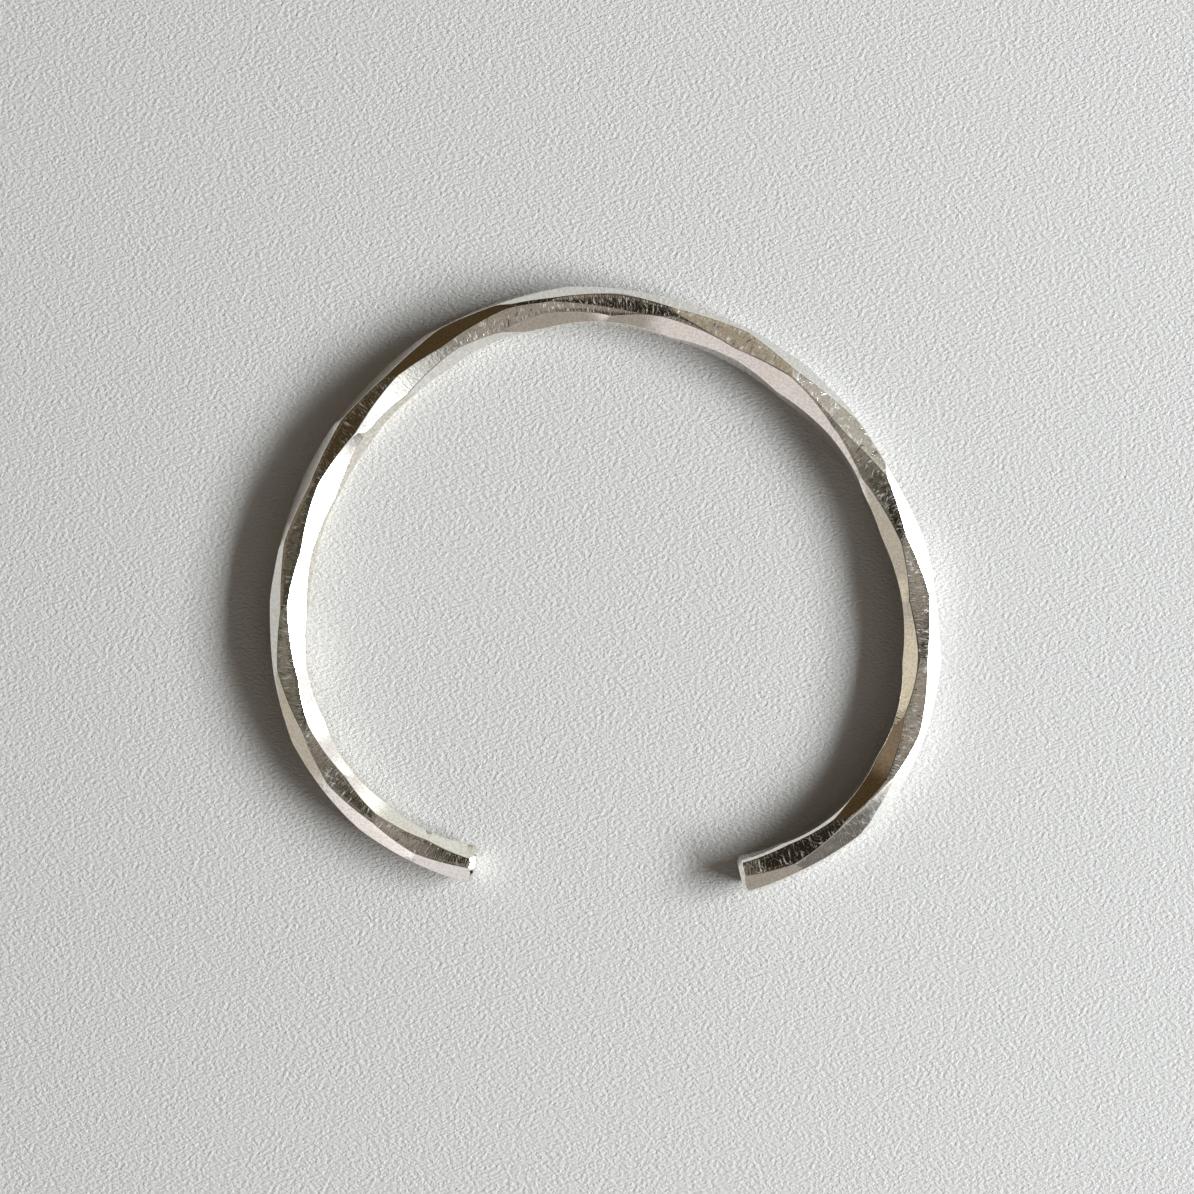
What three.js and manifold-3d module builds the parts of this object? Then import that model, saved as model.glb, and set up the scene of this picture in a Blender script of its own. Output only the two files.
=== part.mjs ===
// An open bangle: one bar of silver, drawn round, filed into rows of long shallow flats,
// rounded at both ends and bent into an oval that is open at the front.
// Units are millimetres, +Z is up, and the bangle lies on its side on the floor.
// The origin is under the middle of its bounding box, and its opening faces -Y.

import * as THREE from 'three';
import { mergeVertices } from 'three/addons/utils/BufferGeometryUtils.js';
import Module from 'manifold-3d';

// ---- Driving dimensions ----

// The bar's middle line runs clockwise seen from above, from the left end to the right end.
const START = { x: -13.5, y: -24.4, heading: 167.2 };
const ARCS = [
  { radius: 23.5, sweep: 75 },
  { radius: 33.5, sweep: 62 },
  { radius: 26.0, sweep: 36 },
  { radius: 34.5, sweep: 86 },
  { radius: 22.5, sweep: 75 },
];

const STOCK_RADIUS = 2.6; // the round bar before any flat is filed
const FLAT_DEPTH = 1.75; // from the bar's middle to the middle of an ordinary flat
const FLAT_SCOOP = 85; // radius of the shallow hollow that each flat is along the bar
const TOUCH_SCOOP = 170; // the same for the short extra strokes on single ridges
const CUTTER_TOP = 3.2;
const CUTTER_WIDTH = 5.2;
const CUTTER_RISE = 2.3; // each cutter ends where its hollow has risen this far from the middle
const SLICE = 2; // length of one straight step along the bar
const FOOT_DEPTH = 1.93; // the ridges below are rubbed down to this, where the bangle rests

// Each end has a flat face with a sloping rim: radius of the round bar at each distance back
// from its tip.
const LEFT_TIP = -0.4;
const RIGHT_TIP = 165.4;
const BAR_SIDES = 24;
const LEFT_END = [
  { back: 0, radius: 1.6 },
  { back: 1.4, radius: 2.51 },
  { back: 1.5, radius: STOCK_RADIUS },
];
const RIGHT_END = [
  { back: 0, radius: 1.42 },
  { back: 0.9, radius: 2.455 },
  { back: 1, radius: STOCK_RADIUS },
];

// Stations along the bar, each with four flats a quarter turn apart or nearly so.
// Angles say which way a flat faces in the bar's cross-section: 0 is away from the wrist,
// 90 is up and 180 is towards the wrist. "outer" and "inner" are two neighbouring flats, and
// the other two lie opposite them. The cuts say how much deeper than usual a flat is filed:
// outerCut and innerCut for those two, and backCut for the flat opposite the outer one, which
// backTurn turns a little further.
const STATIONS = [
  { at: 0.0, outer: 50, inner: 135, outerCut: 0.05, innerCut: 0, backCut: 0, backTurn: 0 },
  { at: 5.6, outer: 2, inner: 92, outerCut: 0, innerCut: 0, backCut: 0, backTurn: 0 },
  { at: 10.4, outer: 50, inner: 130, outerCut: 0, innerCut: 0, backCut: 0, backTurn: 0 },
  { at: 16.0, outer: -2, inner: 88, outerCut: 0, innerCut: 0, backCut: 0, backTurn: 0 },
  { at: 21.8, outer: 49, inner: 133, outerCut: 0, innerCut: 0.06, backCut: 0, backTurn: 0 },
  { at: 28.3, outer: 0, inner: 83, outerCut: 0.1, innerCut: 0, backCut: 0, backTurn: 0 },
  { at: 34.2, outer: 43, inner: 123, outerCut: 0, innerCut: 0.08, backCut: 0, backTurn: 0 },
  { at: 40.3, outer: -10, inner: 75, outerCut: 0.1, innerCut: 0, backCut: 0, backTurn: 0 },
  { at: 46.8, outer: 33, inner: 123, outerCut: 0, innerCut: 0.13, backCut: 0, backTurn: 0 },
  { at: 53.4, outer: -24, inner: 73, outerCut: 0.12, innerCut: 0, backCut: 0.03, backTurn: 0 },
  { at: 59.8, outer: 26, inner: 114, outerCut: 0, innerCut: 0.05, backCut: 0, backTurn: 0 },
  { at: 66.2, outer: -33, inner: 59, outerCut: 0.1, innerCut: 0, backCut: 0, backTurn: 0 },
  { at: 72.4, outer: 12, inner: 100, outerCut: 0.05, innerCut: 0, backCut: 0, backTurn: 0 },
  { at: 78.2, outer: 37, inner: 124, outerCut: -0.03, innerCut: 0, backCut: 0, backTurn: 0 },
  { at: 83.8, outer: -7, inner: 83, outerCut: 0, innerCut: 0, backCut: 0, backTurn: 0 },
  { at: 90.0, outer: 32, inner: 127, outerCut: -0.03, innerCut: 0.1, backCut: 0, backTurn: 0 },
  { at: 96.0, outer: -14, inner: 76, outerCut: 0.05, innerCut: 0, backCut: 0, backTurn: 0 },
  { at: 103.2, outer: 37, inner: 122, outerCut: -0.09, innerCut: 0.05, backCut: 0, backTurn: 0 },
  { at: 109.4, outer: -17, inner: 72, outerCut: 0.1, innerCut: 0, backCut: 0, backTurn: 0 },
  { at: 116.0, outer: 9, inner: 98, outerCut: 0, innerCut: 0.03, backCut: 0, backTurn: 0 },
  { at: 122.6, outer: 58, inner: 133, outerCut: -0.05, innerCut: 0, backCut: 0, backTurn: 0 },
  { at: 129.0, outer: -3, inner: 87, outerCut: 0, innerCut: 0, backCut: 0, backTurn: 0 },
  { at: 135.2, outer: 45, inner: 134, outerCut: 0.05, innerCut: 0, backCut: 0, backTurn: 0 },
  { at: 141.4, outer: 0, inner: 90, outerCut: 0, innerCut: 0, backCut: 0, backTurn: 0 },
  { at: 147.5, outer: 46, inner: 117, outerCut: -0.08, innerCut: 0, backCut: 0, backTurn: 0 },
  { at: 153.6, outer: -22, inner: 66, outerCut: 0, innerCut: 0, backCut: 0.12, backTurn: 14 },
  { at: 159.8, outer: 16, inner: 106, outerCut: 0, innerCut: 0, backCut: 0, backTurn: 0 },
  { at: 165.8, outer: -29, inner: 61, outerCut: 0, innerCut: 0, backCut: 0, backTurn: 17 },
];

// Short extra strokes that took the edge off single ridges.
const TOUCHES = [
  { at: 75.5, facing: 71, depth: 2.02 },
  { at: 80.4, facing: 102, depth: 1.775 },
  { at: 84.3, facing: 46, depth: 1.98 },
  { at: 91.5, facing: 92, depth: 1.89 },
  { at: 109.8, facing: 93, depth: 1.885 },
  { at: 111.2, facing: 120, depth: 1.935 },
  { at: 137.5, facing: 112, depth: 1.95 },
  { at: 150.5, facing: 92, depth: 1.95 },
  { at: 155.0, facing: 141, depth: 1.935 },
  { at: 163.0, facing: 141, depth: 1.975 },
];

const SILVER = { color: 0xd8d4cc, roughness: 0.3, metalness: 1, flatShading: true };

// ---- Solids ----

const wasm = await Module();
wasm.setup();

function solidOf(geometry) {
  const plain = geometry.clone();
  plain.deleteAttribute('normal');
  plain.deleteAttribute('uv');
  const merged = mergeVertices(plain);
  const vertProperties = new Float32Array(merged.attributes.position.array);
  const triVerts = new Uint32Array(merged.index.array);
  return new wasm.Manifold(new wasm.Mesh({ numProp: 3, vertProperties, triVerts }));
}

function geometryOf(solid) {
  const mesh = solid.getMesh();
  const geometry = new THREE.BufferGeometry();
  geometry.setAttribute('position', new THREE.BufferAttribute(mesh.vertProperties, 3));
  geometry.setIndex(new THREE.BufferAttribute(mesh.triVerts, 1));
  return geometry;
}

// ---- The straight bar: X along it, Y away from the wrist, Z up ----

function roundBar() {
  const left = LEFT_END.map((ring) => new THREE.Vector2(ring.radius, LEFT_TIP + ring.back));
  const right = RIGHT_END.map((ring) => new THREE.Vector2(ring.radius, RIGHT_TIP - ring.back));
  const profile = [
    new THREE.Vector2(0, LEFT_TIP),
    ...left,
    ...right.reverse(),
    new THREE.Vector2(0, RIGHT_TIP),
  ];
  return new THREE.LatheGeometry(profile, BAR_SIDES).rotateZ(-Math.PI / 2);
}

// A cutter for one flat. Its underside follows the flat's hollow in straight steps, and all
// cutters step at the same places, so that ridges run from step to step without a break.
function flatCutter({ at, facing, depth, scoop }) {
  const reach = Math.sqrt(2 * scoop * (CUTTER_RISE - depth));
  const first = Math.ceil((at - reach) / SLICE);
  const last = Math.floor((at + reach) / SLICE);
  const outline = new THREE.Shape();
  outline.moveTo(first * SLICE, CUTTER_TOP);
  for (let step = first; step <= last; step += 1) {
    const along = step * SLICE;
    outline.lineTo(along, depth + (along - at) ** 2 / (2 * scoop));
  }
  outline.lineTo(last * SLICE, CUTTER_TOP);
  outline.closePath();
  const cutter = new THREE.ExtrudeGeometry(outline, { depth: CUTTER_WIDTH, bevelEnabled: false });
  cutter.translate(0, 0, -CUTTER_WIDTH / 2);
  return cutter.rotateX(THREE.MathUtils.degToRad(facing));
}

function allFlats() {
  const flats = [];
  for (const { at, outer, inner, outerCut, innerCut, backCut, backTurn } of STATIONS) {
    const scoop = FLAT_SCOOP;
    flats.push({ at, facing: outer, depth: FLAT_DEPTH - outerCut, scoop });
    flats.push({ at, facing: inner, depth: FLAT_DEPTH - innerCut, scoop });
    const back = outer + 180 + backTurn;
    flats.push({ at, facing: back, depth: FLAT_DEPTH - backCut, scoop });
    flats.push({ at, facing: inner + 180, depth: FLAT_DEPTH, scoop });
  }
  for (const touch of TOUCHES) {
    flats.push({ ...touch, scoop: TOUCH_SCOOP });
  }
  return flats;
}

function filedBar() {
  let bar = solidOf(roundBar());
  for (const flat of allFlats()) {
    bar = bar.subtract(solidOf(flatCutter(flat)));
  }
  return bar;
}

// ---- Bending ----

// The middle line's point and heading at a distance along the bar.
// Before its start and past its end the line goes straight on.
function middleLine(along) {
  let { x, y } = START;
  let heading = THREE.MathUtils.degToRad(START.heading);
  let left = along;
  for (const { radius, sweep } of ARCS) {
    if (left <= 0) break;
    const turn = Math.min(left / radius, THREE.MathUtils.degToRad(sweep));
    x += radius * (Math.sin(heading) - Math.sin(heading - turn));
    y += radius * (Math.cos(heading - turn) - Math.cos(heading));
    heading -= turn;
    left -= radius * turn;
  }
  const straight = along < 0 ? along : Math.max(left, 0);
  x += straight * Math.cos(heading);
  y += straight * Math.sin(heading);
  return { x, y, heading };
}

function bend(geometry) {
  const points = geometry.attributes.position;
  for (let index = 0; index < points.count; index += 1) {
    const outward = points.getY(index);
    const { x, y, heading } = middleLine(points.getX(index));
    points.setX(index, x - outward * Math.sin(heading));
    points.setY(index, y + outward * Math.cos(heading));
  }
  return geometry;
}

// ---- Resting ----

// The lowest ridges are rubbed flat on one level, as a worn bangle's are.
function restingBangle(bent) {
  const ground = new THREE.BoxGeometry(100, 100, 10);
  ground.translate(0, 0, -FOOT_DEPTH - 5);
  const rested = geometryOf(solidOf(bent).subtract(solidOf(ground)));
  rested.computeBoundingBox();
  const middle = rested.boundingBox.getCenter(new THREE.Vector3());
  rested.translate(-middle.x, -middle.y, -rested.boundingBox.min.z);
  rested.computeVertexNormals();
  return rested;
}

const bangle = new THREE.Mesh(
  restingBangle(bend(geometryOf(filedBar()))),
  new THREE.MeshStandardMaterial(SILVER),
);
bangle.name = 'bangle';

const model = new THREE.Group();
model.add(bangle);

export default model;
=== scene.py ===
# %% [markdown]
# # An open silver bangle
# This lesson dresses one finished part: an open bangle, made of a single bar of silver. The
# bar was drawn round, filed into rows of long shallow flats, cut off square at both ends and
# bent into an oval that is open at the front. It lies on its side on a pale floor.
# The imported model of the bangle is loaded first. It is the frame: sizes and places come from
# it, in metres, with +Z up and the opening facing -Y.

# %% Load the frame
import math
import random

import bmesh
import bpy
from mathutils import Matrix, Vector


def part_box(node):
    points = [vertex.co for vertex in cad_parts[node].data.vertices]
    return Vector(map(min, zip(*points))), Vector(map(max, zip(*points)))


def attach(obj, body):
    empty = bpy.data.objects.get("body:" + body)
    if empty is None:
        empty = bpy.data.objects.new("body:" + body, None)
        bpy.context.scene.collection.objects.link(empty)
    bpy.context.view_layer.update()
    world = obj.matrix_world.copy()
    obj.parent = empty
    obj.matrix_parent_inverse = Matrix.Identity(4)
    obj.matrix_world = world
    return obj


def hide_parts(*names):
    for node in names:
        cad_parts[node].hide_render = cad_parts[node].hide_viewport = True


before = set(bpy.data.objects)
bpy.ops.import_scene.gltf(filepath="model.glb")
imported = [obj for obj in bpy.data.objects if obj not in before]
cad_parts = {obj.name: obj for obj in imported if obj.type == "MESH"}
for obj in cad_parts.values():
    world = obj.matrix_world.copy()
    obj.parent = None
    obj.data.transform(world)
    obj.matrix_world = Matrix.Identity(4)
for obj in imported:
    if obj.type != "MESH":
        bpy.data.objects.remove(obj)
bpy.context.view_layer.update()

bangle_low, bangle_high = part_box("bangle")
MM = 0.001
print("the bangle measures", [round(side / MM, 2) for side in bangle_high - bangle_low], "mm")

# %% [markdown]
# ## The bar and its flats
# On the real bangle every flat is one stroke of a file or a grinding drum, laid a little
# across its neighbours. Four flats a quarter turn apart make a station, and the next station,
# six millimetres on, is turned by about half of that, so that the flats lock into long
# lozenges. This could be carved by eye, or faked with a bump map. It is cut here from the same
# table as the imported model, because the lozenges are the whole look of the thing: each ridge
# has to lie where the maker left it. All lengths in this part are millimetres, and the bar
# is straight for now: X runs along it, Y away from the wrist and Z up.

# %% The table of flats
STOCK_RADIUS = 2.6
FLAT_DEPTH = 1.75
FLAT_SCOOP = 85.0
TOUCH_SCOOP = 170.0

# Angles say which way a flat faces: 0 is away from the wrist, 90 is up, 180 is the wrist.
# The cuts say how much deeper than usual a flat is filed, and back_turn how far the flat
# behind the outer one is turned away from facing straight back.
STATION_COLUMNS = ("at", "outer", "inner", "outer_cut", "inner_cut", "back_cut", "back_turn")
STATIONS = [
    (0.0, 50, 135, 0.05, 0, 0, 0),
    (5.6, 2, 92, 0, 0, 0, 0),
    (10.4, 50, 130, 0, 0, 0, 0),
    (16.0, -2, 88, 0, 0, 0, 0),
    (21.8, 49, 133, 0, 0.06, 0, 0),
    (28.3, 0, 83, 0.1, 0, 0, 0),
    (34.2, 43, 123, 0, 0.08, 0, 0),
    (40.3, -10, 75, 0.1, 0, 0, 0),
    (46.8, 33, 123, 0, 0.13, 0, 0),
    (53.4, -24, 73, 0.12, 0, 0.03, 0),
    (59.8, 26, 114, 0, 0.05, 0, 0),
    (66.2, -33, 59, 0.1, 0, 0, 0),
    (72.4, 12, 100, 0.05, 0, 0, 0),
    (78.2, 37, 124, -0.03, 0, 0, 0),
    (83.8, -7, 83, 0, 0, 0, 0),
    (90.0, 32, 127, -0.03, 0.1, 0, 0),
    (96.0, -14, 76, 0.05, 0, 0, 0),
    (103.2, 37, 122, -0.09, 0.05, 0, 0),
    (109.4, -17, 72, 0.1, 0, 0, 0),
    (116.0, 9, 98, 0, 0.03, 0, 0),
    (122.6, 58, 133, -0.05, 0, 0, 0),
    (129.0, -3, 87, 0, 0, 0, 0),
    (135.2, 45, 134, 0.05, 0, 0, 0),
    (141.4, 0, 90, 0, 0, 0, 0),
    (147.5, 46, 117, -0.08, 0, 0, 0),
    (153.6, -22, 66, 0, 0, 0.12, 14),
    (159.8, 16, 106, 0, 0, 0, 0),
    (165.8, -29, 61, 0, 0, 0, 17),
]
TOUCH_COLUMNS = ("at", "facing", "depth")
TOUCHES = [
    (75.5, 71, 2.02),
    (80.4, 102, 1.775),
    (84.3, 46, 1.98),
    (91.5, 92, 1.89),
    (109.8, 93, 1.885),
    (111.2, 120, 1.935),
    (137.5, 112, 1.95),
    (150.5, 92, 1.95),
    (155.0, 141, 1.935),
    (163.0, 141, 1.975),
]


def flat(at, facing, depth, scoop):
    return {"at": at, "facing": math.radians(facing), "depth": depth, "scoop": scoop}


def all_flats():
    flats = []
    for row in STATIONS:
        station = dict(zip(STATION_COLUMNS, row))
        at, outer, inner = station["at"], station["outer"], station["inner"]
        flats.append(flat(at, outer, FLAT_DEPTH - station["outer_cut"], FLAT_SCOOP))
        flats.append(flat(at, inner, FLAT_DEPTH - station["inner_cut"], FLAT_SCOOP))
        back = outer + 180 + station["back_turn"]
        flats.append(flat(at, back, FLAT_DEPTH - station["back_cut"], FLAT_SCOOP))
        flats.append(flat(at, inner + 180, FLAT_DEPTH, FLAT_SCOOP))
    for row in TOUCHES:
        touch = dict(zip(TOUCH_COLUMNS, row))
        flats.append(flat(touch["at"], touch["facing"], touch["depth"], TOUCH_SCOOP))
    return flats


FLATS = all_flats()
print(len(FLATS), "flats on the bar")

# %% [markdown]
# ## One section of the bar
# A flat is a very shallow hollow, so its distance from the bar's middle grows slowly on both
# sides of its deepest place. At any place along the bar the section is what all the flats
# leave. The ridges between them aren't knife edges: a polishing cloth and years of wear have
# rounded them. A Bevel modifier would stumble where two ridges run together at the tip of a
# lozenge, so the rounding is worked out per section instead. The section is shrunk by the
# rounding radius and grown again by the same radius, which leaves the flats where they were
# and a round arc at each corner. How far that shape reaches in each of 60 directions is all
# that the cutting needs.

# %% Distances of the flats and the rounding from the bar's middle
RIDGE_RADIUS = 0.18
RIDGE_CHANGE = 0.35  # the share by which the rounding comes and goes along the bar
DIRECTIONS = 60
FIRST_DIRECTION = math.radians(2.5)  # between whole degrees, so that no two cuts coincide
directions = [FIRST_DIRECTION + step * math.tau / DIRECTIONS for step in range(DIRECTIONS)]

LEFT_TIP = -0.4
RIGHT_TIP = 165.4
# Each end has a flat face, and its rim is filed to a slope: so much wider per millimetre back.
LEFT_END = {"face": 1.6, "slope": 0.65}
RIGHT_END = {"face": 1.42, "slope": 1.15}


def flat_reach(cut, along):
    return cut["depth"] + (along - cut["at"]) ** 2 / (2 * cut["scoop"])


def ridge_radius(along):
    wander = math.sin(along * 0.83) * 0.6 + math.sin(along * 2.17 + 1.3) * 0.4
    return RIDGE_RADIUS * (1 + RIDGE_CHANGE * wander)


def end_reach(along):
    left = LEFT_END["face"] + LEFT_END["slope"] * (along - LEFT_TIP)
    right = RIGHT_END["face"] + RIGHT_END["slope"] * (RIGHT_TIP - along)
    return min(left, right, STOCK_RADIUS)


def corners(sides):
    """The corner points of the convex section whose sides are (facing, distance) pairs."""
    found = []
    for index, (first, near) in enumerate(sides):
        for second, far in sides[index + 1 :]:
            spread = math.sin(second - first)
            if abs(spread) < 1e-6:
                continue
            out = (near * math.sin(second) - far * math.sin(first)) / spread
            up = (far * math.cos(first) - near * math.cos(second)) / spread
            if all(out * math.cos(a) + up * math.sin(a) <= d + 1e-9 for a, d in sides):
                found.append((out, up))
    return found


def rounded_reaches(along):
    """How far the rounded section reaches in each direction."""
    radius = ridge_radius(along)
    close = [cut for cut in FLATS if flat_reach(cut, along) < STOCK_RADIUS]
    shrunk = corners([(cut["facing"], flat_reach(cut, along) - radius) for cut in close])
    limit = end_reach(along)
    reaches = []
    for angle in directions:
        tip = max(out * math.cos(angle) + up * math.sin(angle) for out, up in shrunk)
        reaches.append(min(tip + radius, limit))
    return reaches


# %% Where the bar is sliced
SLICE = 0.5
END_STEPS = (0.0, 0.12, 0.24, 0.36, 0.48, 0.6, 0.8, 1.05, 1.4)


def slice_places():
    first, last = LEFT_TIP + END_STEPS[-1], RIGHT_TIP - END_STEPS[-1]
    count = round((last - first) / SLICE)
    middle = [first + (last - first) * step / count for step in range(1, count)]
    left = [LEFT_TIP + back for back in END_STEPS]
    right = [RIGHT_TIP - back for back in reversed(END_STEPS)]
    return left + middle + right


places = slice_places()
reaches = [rounded_reaches(along) for along in places]
print(len(places), "sections along the bar")

# %% [markdown]
# ## Cutting the slices
# Each slice starts as a small block. Every flat that reaches it shaves it with one plane, and
# then the sixty directions shave its ridges. A plane goes through the same line as the next
# slice's plane at the face that they share, so the slices meet exactly. The cut is closed with
# a new face, which keeps the number of its flat: the finish needs it later.

# %% A slice and its cuts
BLOCK = 6.0
SNAP = 2e-6
WALL = -1


def shave(piece, through, normal, number, numbers):
    """Cuts one plane off a convex block and closes the cut with one face."""
    if all((corner.co - through).dot(normal) < SNAP for corner in piece.verts):
        return
    everything = piece.verts[:] + piece.edges[:] + piece.faces[:]
    cut = bmesh.ops.bisect_plane(
        piece, geom=everything, dist=SNAP, plane_co=through, plane_no=normal, clear_outer=True
    )
    rim = [item for item in cut["geom_cut"] if isinstance(item, bmesh.types.BMEdge)]
    made = bmesh.ops.contextual_create(piece, geom=rim)["faces"]
    for face in made:
        face[numbers] = number


def cut_slice(start, end, start_reaches, end_reaches):
    """One slice, cut near the origin, where small numbers keep the cuts exact, then moved."""
    piece = bmesh.new()
    numbers = piece.faces.layers.int.new("flat")
    length = end - start
    bmesh.ops.create_cube(piece, size=1)
    bmesh.ops.scale(piece, vec=(length, BLOCK, BLOCK), verts=piece.verts)
    bmesh.ops.translate(piece, vec=(length / 2, 0, 0), verts=piece.verts)
    for face in piece.faces:
        face[numbers] = WALL
    cuts = []
    for number, cut in enumerate(FLATS, start=1):
        near, far = flat_reach(cut, start), flat_reach(cut, end)
        if min(near, far) < STOCK_RADIUS:
            cuts.append((cut["facing"], near, far, number))
    for angle, near, far in zip(directions, start_reaches, end_reaches):
        cuts.append((angle, near, far, 0))
    for angle, near, far, number in cuts:
        out, up = math.cos(angle), math.sin(angle)
        through = Vector((0, near * out, near * up))
        normal = Vector(((near - far) / length, out, up)).normalized()
        shave(piece, through, normal, number, numbers)
    walls = [face for face in piece.faces if face[numbers] == WALL]
    if start == places[0]:
        walls = [face for face in walls if face.normal.x > 0]
    if end == places[-1]:
        walls = [face for face in walls if face.normal.x < 0]
    bmesh.ops.delete(piece, geom=walls, context="FACES_ONLY")
    bmesh.ops.translate(piece, vec=(start, 0, 0), verts=piece.verts)
    return piece


# %% All slices become one bar
def straight_bar():
    bar = bmesh.new()
    bar.faces.layers.int.new("flat")
    for index in range(len(places) - 1):
        piece = cut_slice(*places[index : index + 2], *reaches[index : index + 2])
        carrier = bpy.data.meshes.new("slice")
        piece.to_mesh(carrier)
        piece.free()
        bar.from_mesh(carrier)
        bpy.data.meshes.remove(carrier)
    bmesh.ops.remove_doubles(bar, verts=bar.verts, dist=5e-4)
    bmesh.ops.dissolve_degenerate(bar, edges=bar.edges, dist=2e-4)
    bmesh.ops.recalc_face_normals(bar, faces=bar.faces)
    return bar


bar = straight_bar()
open_edges = [edge for edge in bar.edges if not edge.is_manifold]
print(len(bar.faces), "faces,", len(open_edges), "open edges")

# %% [markdown]
# ## A map of the surface
# File marks run across the bar and belong to one flat: the next flat was filed on its own and
# leans another way. A finish on plain Object coordinates couldn't know that. So, while the bar
# is still straight, each face corner is told where it is: a UV map holds the distance along
# the bar and across the flat in millimetres, a second one the distance from the ridge on
# either side, and each face gets its stroke, a random number that all faces of a flat share.
# Two flats were filed with a heavy hand that left ripples. They are named by their place and
# the way they face, and a number on their faces tells the material so.

# %% Write the map onto the faces
STROKE_SEED = 7
HEAVY_HAND = [(59.8, 114), (135.2, 134)]
draw = random.Random(STROKE_SEED)
strokes = [0.5] + [draw.random() for cut in FLATS]


def heavy_handed(cut):
    return (cut["at"], round(math.degrees(cut["facing"]))) in HEAVY_HAND


def map_surface(bar):
    numbers = bar.faces.layers.int["flat"]
    place = bar.loops.layers.uv.new("bar")
    rims = bar.loops.layers.uv.new("rims")
    stroke = bar.faces.layers.float.new("stroke")
    rounded = bar.faces.layers.float.new("rounded")
    heavy = bar.faces.layers.float.new("heavy")
    for face in bar.faces:
        number = max(face[numbers], 0)
        face[stroke] = strokes[number]
        face[rounded] = 0.0 if number else 1.0
        face[heavy] = float(number > 0 and heavy_handed(FLATS[number - 1]))
        facing = FLATS[number - 1]["facing"] if number else math.atan2(face.normal.z, face.normal.y)
        out, up = math.cos(facing), math.sin(facing)
        along = [corner.vert.co.x for corner in face.loops]
        across = [corner.vert.co.z * out - corner.vert.co.y * up for corner in face.loops]
        for corner, step, here in zip(face.loops, along, across):
            level = [other for other, its_step in zip(across, along) if abs(its_step - step) < 0.05]
            corner[place].uv = (step, here)
            corner[rims].uv = (here - min(level), max(level) - here)


map_surface(bar)

# %% [markdown]
# ## Bending
# The maker bends the finished bar over an oval mandrel. A Curve modifier could do that, but
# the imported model's middle line is five arcs that run into each other, and a short function
# follows them exactly. Past both ends of the arcs the bar goes straight on.

# %% Bend the bar along its middle line
START = {"x": -13.5, "y": -24.4, "heading": 167.2}
ARCS = ((23.5, 75), (33.5, 62), (26.0, 36), (34.5, 86), (22.5, 75))  # radius, sweep


def middle_line(along):
    x, y, heading = START["x"], START["y"], math.radians(START["heading"])
    left = along
    for radius, sweep in ARCS:
        if left <= 0:
            break
        turn = min(left / radius, math.radians(sweep))
        x += radius * (math.sin(heading) - math.sin(heading - turn))
        y += radius * (math.cos(heading - turn) - math.cos(heading))
        heading -= turn
        left -= radius * turn
    straight = along if along < 0 else max(left, 0)
    return x + straight * math.cos(heading), y + straight * math.sin(heading), heading


def bend(bar):
    for corner in bar.verts:
        outward, up = corner.co.y, corner.co.z
        x, y, heading = middle_line(corner.co.x)
        corner.co = (x - outward * math.sin(heading), y + outward * math.cos(heading), up)


bend(bar)

# %% [markdown]
# ## Feet
# The underside can't be seen. Here its lowest ridges are rubbed flat on one level, as on a
# bangle that is always laid down on its side, and these feet keep it steady. One plane cuts
# them all, and each cut is closed with a flat face.

# %% Rub the feet flat and lay the bangle down
FOOT_DEPTH = 1.93


def rub_feet(bar):
    everything = bar.verts[:] + bar.edges[:] + bar.faces[:]
    cut = bmesh.ops.bisect_plane(
        bar,
        geom=everything,
        dist=1e-4,
        plane_co=(0, 0, -FOOT_DEPTH),
        plane_no=(0, 0, -1),
        clear_outer=True,
    )
    rim = [item for item in cut["geom_cut"] if isinstance(item, bmesh.types.BMEdge)]
    feet = bmesh.ops.holes_fill(bar, edges=rim, sides=0)["faces"]
    rounded = bar.faces.layers.float["rounded"]
    for foot in feet:
        foot[rounded] = 1.0
    return feet


def lay_down(bar):
    """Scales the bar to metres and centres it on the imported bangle's box."""
    bmesh.ops.scale(bar, vec=(MM, MM, MM), verts=bar.verts)
    low = Vector(min(corner.co[axis] for corner in bar.verts) for axis in range(3))
    high = Vector(max(corner.co[axis] for corner in bar.verts) for axis in range(3))
    shift = (bangle_low + bangle_high - low - high) / 2
    shift.z = bangle_low.z - low.z
    bmesh.ops.translate(bar, vec=shift, verts=bar.verts)
    return high - low


feet = rub_feet(bar)
print(len(feet), "feet,", round(sum(foot.calc_area() for foot in feet), 1), "square mm")
sides = lay_down(bar)
print("the dressed bangle measures", [round(side / MM, 2) for side in sides], "mm")

# %% [markdown]
# ## Shading
# Smooth shading alone would bend the light across every flat, because a corner's normal is
# the mean of its faces. A Weighted Normal modifier lets big faces win: the flats stay flat
# and only the narrow rounded ridges turn. The feet and the rims of the two ends are truly
# sharp, so they are marked.

# %% Make the bangle object
SHARP = math.radians(24)


def bangle_object(bar):
    for face in bar.faces:
        face.smooth = True
    for edge in bar.edges:
        edge.smooth = not (edge.is_manifold and edge.calc_face_angle() > SHARP)
    mesh = bpy.data.meshes.new("filed_bangle")
    bar.to_mesh(mesh)
    bar.free()
    piece = bpy.data.objects.new("filed_bangle", mesh)
    bpy.context.collection.objects.link(piece)
    weighted = piece.modifiers.new("flats stay flat", "WEIGHTED_NORMAL")
    weighted.mode = "FACE_AREA"
    weighted.weight = 50
    weighted.keep_sharp = True
    return piece


filed_bangle = bangle_object(bar)
print(filed_bangle.name, "has", len(filed_bangle.data.polygons), "faces")

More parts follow.
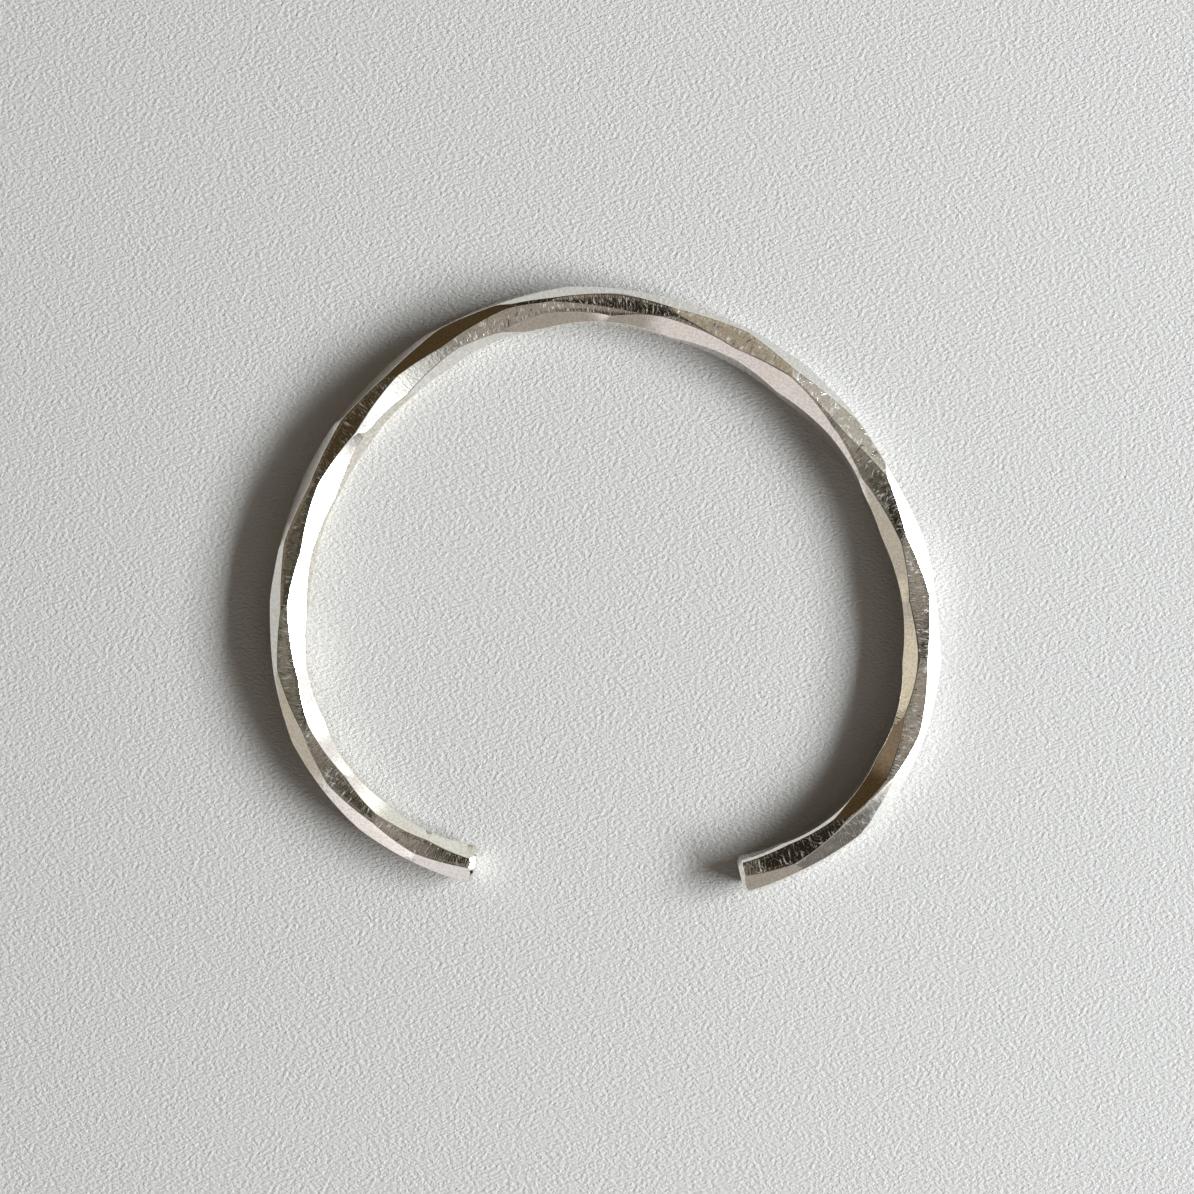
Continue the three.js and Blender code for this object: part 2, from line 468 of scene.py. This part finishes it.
# %% [markdown]
# ## Silver
# Filed silver is bright metal whose look is nearly all reflection. What the eye reads as its
# colour comes from how rough each spot is and which way it leans. A plain glossy colour would
# look like chrome plastic, and painted marks would not glint. So the finish is built from what
# the tools and the years left: file marks across the upward flats, a fine matte grain, a slow
# waviness of the hand, a few deeper scratches, small knocks, and sides and ridges that are
# burnished by wear. Marks, scratches and knocks are node groups, which give a height or a
# mask, and the material adds them up.

# %% Helpers for node trees
class Tree:
    """A node tree with short calls for the nodes that the finishes use."""

    def __init__(self, tree):
        self.nodes, self.links = tree.nodes, tree.links

    def node(self, kind, **settings):
        made = self.nodes.new("ShaderNode" + kind)
        for name, value in settings.items():
            setattr(made, name, value)
        return made

    def put(self, socket, value):
        if isinstance(value, bpy.types.NodeSocket):
            self.links.new(value, socket)
        else:
            socket.default_value = value

    def math(self, operation, *values, clamp=False):
        made = self.node("Math", operation=operation, use_clamp=clamp)
        for socket, value in zip(made.inputs, values):
            self.put(socket, value)
        return made.outputs[0]

    def vector(self, operation, *values):
        made = self.node("VectorMath", operation=operation)
        for socket, value in zip(made.inputs, values):
            self.put(socket, value)
        return made.outputs["Value" if operation in ("DOT_PRODUCT", "LENGTH") else "Vector"]

    def ramp(self, value, low, high, to_low=0.0, to_high=1.0):
        made = self.node("MapRange", interpolation_type="SMOOTHSTEP", clamp=True)
        for socket, number in zip(made.inputs, (value, low, high, to_low, to_high)):
            self.put(socket, number)
        return made.outputs[0]

    def noise(self, vector, scale=1.0, detail=2.0, roughness=0.5):
        made = self.node("TexNoise")
        self.put(made.inputs["Vector"], vector)
        self.put(made.inputs["Scale"], scale)
        self.put(made.inputs["Detail"], detail)
        self.put(made.inputs["Roughness"], roughness)
        return made.outputs["Fac"]

    def mix(self, factor, first, second):
        made = self.node("Mix", data_type="RGBA")
        self.put(made.inputs["Factor"], factor)
        self.put(made.inputs["A"], first)
        self.put(made.inputs["B"], second)
        return made.outputs["Result"]


def finish_group(name, inputs, outputs):
    """A shader node group with named float or vector sockets, and the ends to build between."""
    group = bpy.data.node_groups.new(name, "ShaderNodeTree")
    for socket, kind in inputs.items():
        group.interface.new_socket(socket, in_out="INPUT", socket_type="NodeSocket" + kind)
    for socket, kind in outputs.items():
        group.interface.new_socket(socket, in_out="OUTPUT", socket_type="NodeSocket" + kind)
    tree = Tree(group)
    start = group.nodes.new("NodeGroupInput")
    end = group.nodes.new("NodeGroupOutput")
    return group, tree, start.outputs, end.inputs


def use_group(tree, group, **values):
    made = tree.node("Group", node_tree=group)
    for name, value in values.items():
        tree.put(made.inputs[name], value)
    return made.outputs


# %% [markdown]
# ### File marks
# A file leaves fine furrows side by side. Noise that is squeezed along the bar and stretched
# across it gives such furrows. The stroke number turns the whole pattern a little on each
# flat and moves it to another part of the noise, so that no two flats match.

# %% The file marks group
MARKS_PER_MM = 6.5
MARK_STRETCH = 1.1
MARK_LEAN = 0.7
MARKS_APART = 60  # how far apart in the noise the strokes are spread
STREAK = (0.58, 0.61)  # the furrow noise at which a streak begins and is full


def build_file_marks():
    inputs = {"Place": "Vector", "Stroke": "Float"}
    outputs = {"Height": "Float", "Streaks": "Float"}
    group, tree, given, result = finish_group("file marks", inputs, outputs)
    lean = tree.math("MULTIPLY", tree.math("SUBTRACT", given["Stroke"], 0.5), MARK_LEAN)
    turned = tree.node("VectorRotate", rotation_type="Z_AXIS")
    tree.put(turned.inputs["Vector"], given["Place"])
    tree.put(turned.inputs["Angle"], lean)
    squeezed = tree.vector("MULTIPLY", turned.outputs[0], (MARKS_PER_MM, MARK_STRETCH, 1))
    away = tree.node("CombineXYZ")
    tree.put(away.inputs["Z"], tree.math("MULTIPLY", given["Stroke"], MARKS_APART))
    furrows = tree.noise(tree.vector("ADD", squeezed, away.outputs[0]), 1, 2, 0.6)
    tree.put(result["Height"], tree.math("SUBTRACT", furrows, 0.5))
    tree.put(result["Streaks"], tree.ramp(furrows, *STREAK))
    return group


file_marks = build_file_marks()
print("file marks:", len(file_marks.nodes), "nodes")

# %% [markdown]
# ### Scratches and knocks
# Deeper scratches are rare and lean their own way. They are the peaks of a second furrow
# noise. Knocks are the small bright pits that a worn bangle collects: the middles of a few
# cells of a Voronoi pattern.

# %% The scratches group and the knocks group
SCRATCHES_PER_MM = 8.0
SCRATCH_STRETCH = 0.9
SCRATCH_LEAN = 2.0
SCRATCHES_APART = 31
SCRATCH = (0.66, 0.7)  # the noise at which a scratch begins and is full
SHUFFLE = 7.3  # turns a flat's stroke into a second random number
KNOCKED_CELLS = 0.8  # a cell holds a knock if its own random number is above this


def build_scratches():
    inputs = {"Place": "Vector", "Stroke": "Float"}
    group, tree, given, result = finish_group("scratches", inputs, {"Mask": "Float"})
    own = tree.math("FRACT", tree.math("MULTIPLY", given["Stroke"], SHUFFLE))
    lean = tree.math("MULTIPLY", tree.math("SUBTRACT", own, 0.5), SCRATCH_LEAN)
    turned = tree.node("VectorRotate", rotation_type="Z_AXIS")
    tree.put(turned.inputs["Vector"], given["Place"])
    tree.put(turned.inputs["Angle"], lean)
    squeezed = tree.vector("MULTIPLY", turned.outputs[0], (SCRATCHES_PER_MM, SCRATCH_STRETCH, 1))
    away = tree.node("CombineXYZ")
    tree.put(away.inputs["Z"], tree.math("MULTIPLY", own, SCRATCHES_APART))
    streaks = tree.noise(tree.vector("ADD", squeezed, away.outputs[0]), 1, 1, 0.4)
    tree.put(result["Mask"], tree.ramp(streaks, *SCRATCH))
    return group


def build_knocks():
    inputs = {"Vector": "Vector", "Per mm": "Float", "Size": "Float"}
    group, tree, given, result = finish_group("knocks", inputs, {"Mask": "Float"})
    cells = tree.node("TexVoronoi")
    tree.put(cells.inputs["Vector"], given["Vector"])
    tree.put(cells.inputs["Scale"], given["Per mm"])
    near = tree.math("SUBTRACT", 1, tree.ramp(cells.outputs["Distance"], 0, given["Size"]))
    pick = tree.node("SeparateColor")
    tree.put(pick.inputs[0], cells.outputs["Color"])
    chosen = tree.math("GREATER_THAN", pick.outputs[0], KNOCKED_CELLS)
    tree.put(result["Mask"], tree.math("MULTIPLY", near, chosen))
    return group


scratches = build_scratches()
knocks = build_knocks()
print("scratches:", len(scratches.nodes), "nodes, knocks:", len(knocks.nodes), "nodes")

# %% [markdown]
# ### Reading the surface
# The material first asks each spot where it is, which way it faces and how much of the filing
# it kept. The ridges, the ends and the side flats, which skin and sleeve rub, have hardly any
# marks; the upward flats kept theirs. A painted mask could say the same, but the faces know it.

# %% What a spot knows about itself
UPWARD = (0.918, 0.94)  # how far up a face looks where the marks set in and where they are full
SIDE_MARKS = 0.12  # the share of the marks that the side flats kept
RIDGE_WEAR = 0.85  # the share that wear took off the ridges and ends


def read_surface(tree):
    own_normal = tree.node("VectorTransform", vector_type="NORMAL")
    own_normal.convert_from, own_normal.convert_to = "WORLD", "OBJECT"
    tree.put(own_normal.inputs[0], tree.node("NewGeometry").outputs["True Normal"])
    facing = tree.node("SeparateXYZ")
    tree.put(facing.inputs[0], own_normal.outputs[0])
    in_mm = tree.vector("SCALE", tree.node("TexCoord").outputs["Object"])
    in_mm.node.inputs["Scale"].default_value = 1 / MM
    surface = {"in_mm": in_mm, "upward": facing.outputs["Z"]}
    for uv_map in ("bar", "rims"):
        surface[uv_map] = tree.node("UVMap", uv_map=uv_map).outputs[0]
    for name in ("stroke", "rounded", "heavy"):
        surface[name] = tree.node("Attribute", attribute_name=name).outputs["Fac"]
    filed = tree.ramp(surface["upward"], *UPWARD, SIDE_MARKS, 1)
    unworn = tree.math("MULTIPLY_ADD", surface["rounded"], -RIDGE_WEAR, 1)
    surface["filed"] = tree.math("MULTIPLY", filed, unworn)
    return surface


# %% What the tools and the years left
RIPPLES_PER_MM = (1.7, 1.1, 1)  # along the bar and across it
CHATTER_PER_MM = (3.0, 1.5, 1)
GRAINS_PER_MM = 7
WAVES_PER_MM = 0.5
KNOCK_SIZES = {"Per mm": 1.1, "Size": 0.12}


def lay_marks(tree, surface):
    place, in_mm = surface["bar"], surface["in_mm"]
    marks = use_group(tree, file_marks, Place=place, Stroke=surface["stroke"])
    lines = use_group(tree, scratches, Place=place, Stroke=surface["stroke"])
    pits = use_group(tree, knocks, Vector=in_mm, **KNOCK_SIZES)
    return {
        "furrows": marks["Height"],
        "streaks": marks["Streaks"],
        "lines": lines["Mask"],
        "pits": pits["Mask"],
        "ripple": tree.noise(tree.vector("MULTIPLY", place, RIPPLES_PER_MM), 1, 1, 0.5),
        "chatter": tree.noise(tree.vector("MULTIPLY", place, CHATTER_PER_MM), 1, 2, 0.6),
        "grain": tree.noise(in_mm, GRAINS_PER_MM, 2, 0.7),
        "wave": tree.noise(in_mm, WAVES_PER_MM, 1, 0.5),
    }


# %% [markdown]
# ### Relief
# Heights are added in millimetres and go through one Bump node. File marks count only where
# they were kept. The ripples of the heavy hand cover their two flats whole, and the knocks, the
# grain and the slow waviness are everywhere.

# %% Add the heights
FURROW_HEIGHT = 0.006
RIPPLE_HEIGHT = 0.006
HEAVY_RIPPLE = 0.022  # on the two flats that were filed with a heavy hand
SCRATCH_DEPTH = 0.003
KNOCK_DEPTH = 0.015
GRAIN_HEIGHT = 0.002
WAVE_HEIGHT = 0.012
EDGE_ROLL = 0.008
ROLL_WIDTH = 0.3
ROLL_RAGGED = 0.5  # how much the furrows fray the rolled edge


def add_relief(tree, shader, surface, marks):
    sides = tree.node("SeparateXYZ")
    tree.put(sides.inputs[0], surface["rims"])
    to_rim = tree.math("MINIMUM", sides.outputs[0], sides.outputs[1])
    ragged = tree.math("MULTIPLY_ADD", marks["furrows"], ROLL_RAGGED, to_rim)
    rolled = tree.math("SUBTRACT", 1, tree.ramp(ragged, 0, ROLL_WIDTH))
    chatter = tree.math("MULTIPLY", marks["chatter"], surface["heavy"])

    height = tree.math("MULTIPLY", marks["furrows"], FURROW_HEIGHT)
    height = tree.math("MULTIPLY_ADD", marks["ripple"], RIPPLE_HEIGHT, height)
    height = tree.math("MULTIPLY_ADD", marks["lines"], -SCRATCH_DEPTH, height)
    height = tree.math("MULTIPLY_ADD", rolled, -EDGE_ROLL, height)
    height = tree.math("MULTIPLY", height, surface["filed"])
    height = tree.math("MULTIPLY_ADD", chatter, HEAVY_RIPPLE, height)
    height = tree.math("MULTIPLY_ADD", marks["pits"], -KNOCK_DEPTH, height)
    height = tree.math("MULTIPLY_ADD", marks["grain"], GRAIN_HEIGHT, height)
    height = tree.math("MULTIPLY_ADD", marks["wave"], WAVE_HEIGHT, height)
    bump = tree.node("Bump")
    tree.put(bump.inputs["Height"], height)
    bump.inputs["Distance"].default_value = MM
    bump.inputs["Strength"].default_value = 1.0
    tree.put(shader.inputs["Normal"], bump.outputs[0])


# %% [markdown]
# ### Colour and roughness
# The colour is silver's own, a touch warm, with a slow change in clouds where it has begun to
# tarnish. The sides are painted warmer and darker, most of all on the left arm, away from the
# window: this is painted shade, standing in for the darker floor that those sides mirror. Soil
# sits in the marks, which darkens and dulls them, and a faint mottle of it lies everywhere.

# %% Tarnish, painted side shade, soil and roughness
BRIGHT = (0.96, 0.94, 0.9, 1)
# The warm colour is real tarnish in the clouds and painted shade on the sides of the bar.
WARM_TARNISH_AND_SHADE = (0.9, 0.84, 0.74, 1)
SOILED = (0.09, 0.075, 0.055, 1)
SIDE_SHADE_SPAN = (0.35, 0.62)  # how far up a face looks where the painted side shade is full and where it ends
LEFT_ARM_SHADE = (10, -12)  # millimetres along X between which the painted side shade grows to full on the left arm
# the share of the painted side shade that is left on the right arm
RIGHT_ARM_SHADE = 0.2
CLOUDS = (0.45, 0.75)
CLOUD_TARNISH = 0.5
SPECKS = (0.66, 0.69)
MOTTLE = (0.4, 0.65)
MOTTLE_SOIL = 0.18
DIRT = (0.35, 0.6)
LEAST_DIRT = 0.55
POLISHED_ROUGHNESS = 0.04
GRAIN_ROUGHNESS = 0.05
SCUFFED_ROUGHNESS = 0.66


def tarnish_and_side_shade(tree, surface):
    # Painted shade: the sides are made warm and dark, fully on the left arm, away from the window.
    side_shade = tree.math("SUBTRACT", 1, tree.ramp(surface["upward"], *SIDE_SHADE_SPAN))
    where = tree.node("SeparateXYZ")
    tree.put(where.inputs[0], surface["in_mm"])
    left_arm_shade = tree.ramp(where.outputs["X"], *LEFT_ARM_SHADE, RIGHT_ARM_SHADE, 1)
    clouds = tree.ramp(tree.noise(surface["in_mm"], 0.35, 3, 0.6), *CLOUDS)
    clouds = tree.math("MULTIPLY", clouds, CLOUD_TARNISH)
    tarnish_and_shade = tree.math("MAXIMUM", clouds, tree.math("MULTIPLY", side_shade, left_arm_shade))
    return tree.mix(tarnish_and_shade, BRIGHT, WARM_TARNISH_AND_SHADE)


def add_tones(tree, shader, surface, marks):
    specks = tree.ramp(marks["grain"], *SPECKS)
    scuffed = tree.math("MAXIMUM", marks["streaks"], specks)
    scuffed = tree.math("MAXIMUM", scuffed, marks["lines"])
    scuffed = tree.math("MULTIPLY", scuffed, surface["filed"])
    dirt = tree.ramp(marks["ripple"], *DIRT, LEAST_DIRT, 1)
    mottle = tree.ramp(tree.noise(surface["in_mm"], 4, 1, 0.6), *MOTTLE, 0, MOTTLE_SOIL)
    soil = tree.math("MAXIMUM", tree.math("MULTIPLY", scuffed, dirt), mottle)
    # The base colour carries the tarnish and the painted side shade, under the soil.
    tree.put(shader.inputs["Base Color"], tree.mix(soil, tarnish_and_side_shade(tree, surface), SOILED))
    rough = tree.math("MULTIPLY_ADD", marks["grain"], GRAIN_ROUGHNESS, POLISHED_ROUGHNESS)
    rough = tree.math("MULTIPLY_ADD", scuffed, SCUFFED_ROUGHNESS, rough)
    tree.put(shader.inputs["Roughness"], rough)


# %% Build the silver
def build_silver():
    silver = bpy.data.materials.new("filed_silver")
    silver.use_nodes = True
    tree = Tree(silver.node_tree)
    shader = silver.node_tree.nodes["Principled BSDF"]
    shader.inputs["Metallic"].default_value = 1.0
    surface = read_surface(tree)
    marks = lay_marks(tree, surface)
    add_relief(tree, shader, surface, marks)
    add_tones(tree, shader, surface, marks)
    return silver


filed_bangle.data.materials.append(build_silver())
print("silver:", len(filed_bangle.data.materials[0].node_tree.nodes), "nodes")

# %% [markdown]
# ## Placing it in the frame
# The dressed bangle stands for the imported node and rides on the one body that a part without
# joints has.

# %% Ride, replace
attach(filed_bangle, "root")
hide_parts("bangle")

# %% [markdown]
# ## The floor
# A plain pale sheet, matt and slightly toothed, far wider than the bangle. The tooth could be
# modelled, but it is less than a fifth of a millimetre deep, so a bump is enough.

# %% Floor
FLOOR_SIDE = 4.0
FLOOR_COLOUR = (0.38, 0.362, 0.338, 1)
FLOOR_ROUGHNESS = 0.8
FLOOR_GLOSS = 0.9
TOOTH_PER_METRE = 2200.0
TOOTH_HEIGHT = 0.18 * MM
TOOTH_TURN = math.radians(-28)  # the tooth runs a little aslant, and is squeezed across that way
TOOTH_SQUEEZE = (1, 1.7, 1)


def build_floor():
    sheet = bmesh.new()
    bmesh.ops.create_grid(sheet, x_segments=1, y_segments=1, size=FLOOR_SIDE / 2)
    mesh = bpy.data.meshes.new("floor")
    sheet.to_mesh(mesh)
    sheet.free()
    floor = bpy.data.objects.new("floor", mesh)
    bpy.context.collection.objects.link(floor)
    pale = bpy.data.materials.new("pale_floor")
    pale.use_nodes = True
    shader = pale.node_tree.nodes["Principled BSDF"]
    shader.inputs["Base Color"].default_value = FLOOR_COLOUR
    shader.inputs["Roughness"].default_value = FLOOR_ROUGHNESS
    shader.inputs["Specular IOR Level"].default_value = FLOOR_GLOSS
    tree = Tree(pale.node_tree)
    spot = tree.node("TexCoord").outputs["Object"]
    laid = tree.node("Mapping")
    tree.put(laid.inputs["Vector"], spot)
    laid.inputs["Rotation"].default_value = (0, 0, TOOTH_TURN)
    laid.inputs["Scale"].default_value = TOOTH_SQUEEZE
    tooth = tree.noise(laid.outputs[0], TOOTH_PER_METRE, 2, 0.6)
    bump = tree.node("Bump")
    tree.put(bump.inputs["Height"], tooth)
    bump.inputs["Distance"].default_value = TOOTH_HEIGHT
    tree.put(shader.inputs["Normal"], bump.outputs[0])
    mesh.materials.append(pale)
    return floor


floor = build_floor()
print("floor", FLOOR_SIDE, "m square")

# %% [markdown]
# ## Camera
# The bangle is seen from straight above, from a third of a metre away, so that it shows its
# top flats and only a sliver of its sides.

# %% Camera
CAMERA_HEIGHT = 0.32
VIEW_WIDTH = 0.1194  # what the picture spans at the height of the bar's middle
SENSOR = 36.0
VIEW_MIDDLE = (-0.00087, -0.0007)


def build_camera():
    lens = bpy.data.cameras.new("camera")
    lens.sensor_width = SENSOR
    lens.lens = SENSOR * (CAMERA_HEIGHT - bangle_high.z / 2) / VIEW_WIDTH
    lens.clip_start = 0.01
    camera = bpy.data.objects.new("camera", lens)
    camera.location = (*VIEW_MIDDLE, CAMERA_HEIGHT)
    bpy.context.collection.objects.link(camera)
    bpy.context.scene.camera = camera
    return camera


camera = build_camera()
print("lens", round(camera.data.lens, 1), "mm")

# %% [markdown]
# ## Light
# Silver shows its surroundings, so the studio is part of its look: a big soft window on the
# right, pale rosy walls on the near side and on the left, and a dark warm ceiling that keeps
# the upward flats deep brown. A room could be modelled around the bangle, but then every wall
# would bounce light onto the floor. The window is an area light. The rest is the world, in
# which each patch is one soft spot around a direction, set one by one until the flats that
# mirror it had the right tone. Full is the angle up to which a patch is even, gone the angle
# at which it has faded out.

# %% Window
WINDOW = {
    "azimuth": -7,
    "elevation": 27,
    "distance": 1.25,
    "width": 1.1,
    "height": 0.35,
    "watts": 57.6,
    "colour": (0.864, 0.934, 1.0),
}


def towards(azimuth, elevation):
    across, up = math.radians(azimuth), math.radians(elevation)
    return Vector((math.cos(across) * math.cos(up), math.sin(across) * math.cos(up), math.sin(up)))


def build_window():
    pane = bpy.data.lights.new("window", "AREA")
    pane.shape = "RECTANGLE"
    pane.size = WINDOW["width"]
    pane.size_y = WINDOW["height"]
    pane.energy = WINDOW["watts"]
    pane.color = WINDOW["colour"]
    window = bpy.data.objects.new("window", pane)
    way = towards(WINDOW["azimuth"], WINDOW["elevation"])
    window.location = way * WINDOW["distance"]
    window.rotation_euler = way.to_track_quat("Z", "Y").to_euler()
    bpy.context.collection.objects.link(window)
    return window


window = build_window()
print("window at", [round(metres, 2) for metres in window.location], "m")

# %% World
DARK = (0.021, 0.016, 0.009)
PATCH_COLUMNS = ("azimuth", "elevation", "full", "gone", "colour")
PATCHES = [
    (-22, 24, 14, 24, (1.1, 1.1, 1.08)),
    (8, 18, 16, 24, (1.1, 1.1, 1.08)),
    (34, 12, 8, 20, (0.9, 0.9, 0.9)),
    (62, 8, 12, 26, (0.74, 0.75, 0.7)),
    (-34, 46, 8, 14, (1.0, 1.02, 1.02)),
    (-50, 50, 6, 13, (0.4, 0.42, 0.43)),
    (-68, 46, 6, 13, (0.16, 0.16, 0.15)),
    (-60, 38, 6, 15, (0.16, 0.15, 0.14)),
    (-82, 24, 12, 22, (0.34, 0.31, 0.28)),
    (-125, 29, 19, 27, (0.7, 0.65, 0.645)),
    (-108, -1, 10, 17, (0.74, 0.7, 0.71)),
    (-133, -1, 10, 18, (0.76, 0.715, 0.71)),
    (-158, 7, 9, 18, (0.46, 0.42, 0.36)),
    (172, 5, 12, 20, (0.66, 0.59, 0.47)),
    (-55, 77, 11, 18, (0.29, 0.26, 0.225)),
    (-152, 67, 6, 14, (0.19, 0.18, 0.145)),
    (166, 40, 7, 17, (0.18, 0.135, 0.095)),
    (166, 56, 6, 14, (0.035, 0.035, 0.028)),
    (132, 32, 14, 30, (0.04, 0.024, 0.009)),
    (62, 58, 8, 16, (0.35, 0.295, 0.225)),
    (40, 48, 6, 14, (0.42, 0.405, 0.365)),
]


def build_world():
    world = bpy.data.worlds.new("studio")
    world.use_nodes = True
    bpy.context.scene.world = world
    tree = Tree(world.node_tree)
    background = world.node_tree.nodes["Background"]
    ray = tree.vector("NORMALIZE", tree.node("TexCoord").outputs["Generated"])
    total = DARK
    for row in PATCHES:
        patch = dict(zip(PATCH_COLUMNS, row))
        way = towards(patch["azimuth"], patch["elevation"])
        near = tree.vector("DOT_PRODUCT", ray, tuple(way))
        gone, full = (math.cos(math.radians(patch[end])) for end in ("gone", "full"))
        share = tree.ramp(near, gone, full)
        glow = tree.vector("SCALE", patch["colour"])
        tree.put(glow.node.inputs["Scale"], share)
        total = tree.vector("ADD", total, glow)
    tree.put(background.inputs["Color"], total)
    return world


build_world()
print(len(PATCHES), "patches in the world")
bpy.context.scene.view_settings.view_transform = "Standard"

# %% [markdown]
# ## Sizes
# The dressed bangle should be as large as the imported one. Both sizes are printed above, where
# they are measured.

# %% Finish
print("done")
